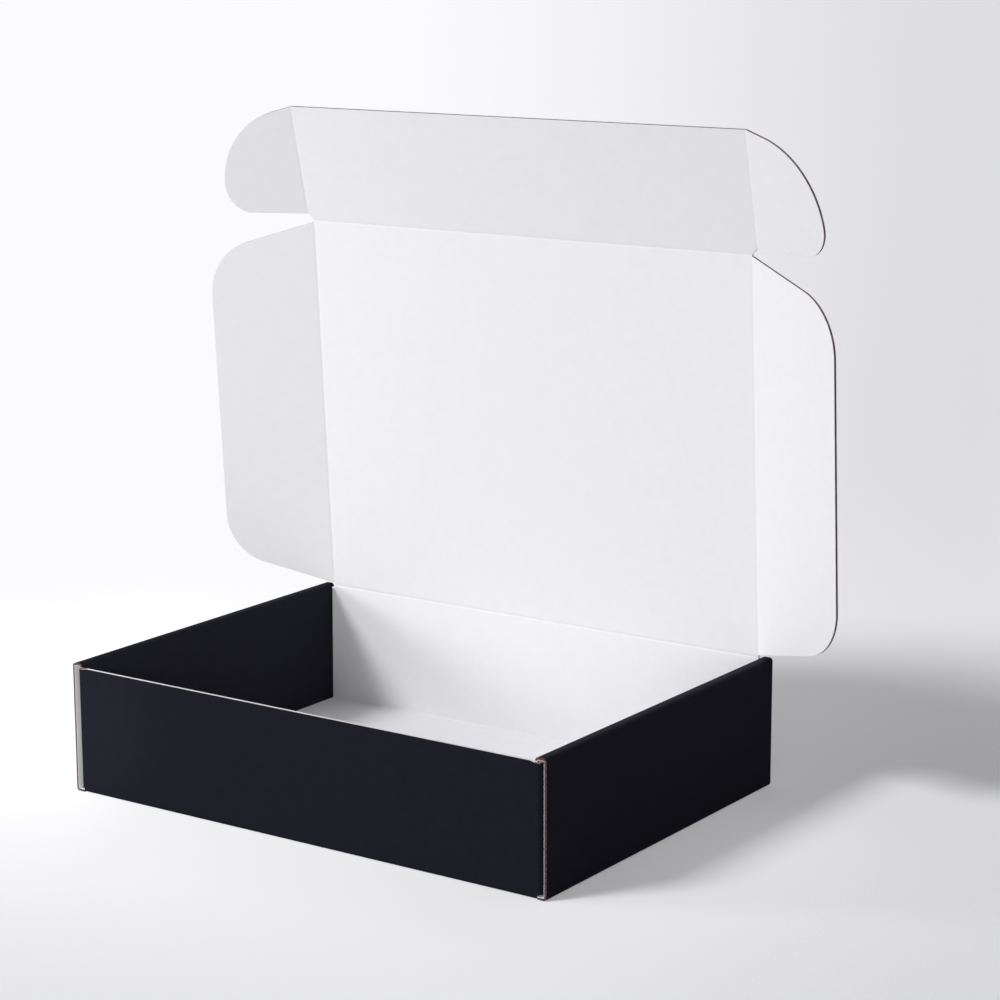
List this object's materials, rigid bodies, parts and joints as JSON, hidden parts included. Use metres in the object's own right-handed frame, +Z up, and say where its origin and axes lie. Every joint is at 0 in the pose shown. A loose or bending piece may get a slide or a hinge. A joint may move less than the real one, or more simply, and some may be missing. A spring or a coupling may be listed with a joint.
{
  "type": "corrugated mailer box",
  "caption": "Folding mailer box of corrugated board with rolled double side walls, hinged lid with side wings, and a tuck flap with curved ears.",
  "frame": {"origin": "middle of the tray's underside", "axes": "+X to the right along the front wall, +Y from the front wall to the back wall and the lid crease, +Z up"},
  "size_m": [0.4489, 0.236, 0.3848],
  "materials": {
    "printed_board": "matte"
  },
  "bodies": {
    "tray": {"tray": "printed_board"},
    "lid": {"lid": "printed_board"},
    "left_wing": {"left_wing": "printed_board"},
    "right_wing": {"right_wing": "printed_board"},
    "tuck_flap": {"tuck_flap": "printed_board"},
    "left_ear": {"left_ear": "printed_board"},
    "right_ear": {"right_ear": "printed_board"}
  },
  "joints": [
    {"name": "lid_crease", "type": "hinge", "parent": "tray", "child": "lid", "pos_m": [0, 0.11725, 0.0768], "axis": [1, 0, 0], "range_deg": [-93.6, 22]},
    {"name": "left_wing_crease", "type": "hinge", "parent": "lid", "child": "left_wing", "pos_m": [-0.1563, 0.1165, 0.07675], "axis": [0, -0.0628, 0.998], "range_deg": [-17.4, 72.6]},
    {"name": "right_wing_crease", "type": "hinge", "parent": "lid", "child": "right_wing", "pos_m": [0.1563, 0.1165, 0.07675], "axis": [0, 0.0628, -0.998], "range_deg": [-23.2, 66.8]},
    {"name": "tuck_crease", "type": "hinge", "parent": "lid", "child": "tuck_flap", "pos_m": [0, 0.10161, 0.31348], "axis": [1, 0, 0], "range_deg": [-9.8, 80.2]},
    {"name": "left_ear_crease", "type": "hinge", "parent": "tuck_flap", "child": "left_ear", "pos_m": [-0.1601, 0.10161, 0.31348], "axis": [0, -0.2317, 0.9728], "range_deg": [-14.2, 75.8]},
    {"name": "right_ear_crease", "type": "hinge", "parent": "tuck_flap", "child": "right_ear", "pos_m": [0.1601, 0.10161, 0.31348], "axis": [0, 0.2317, -0.9728], "range_deg": [-16.5, 73.5]}
  ]
}
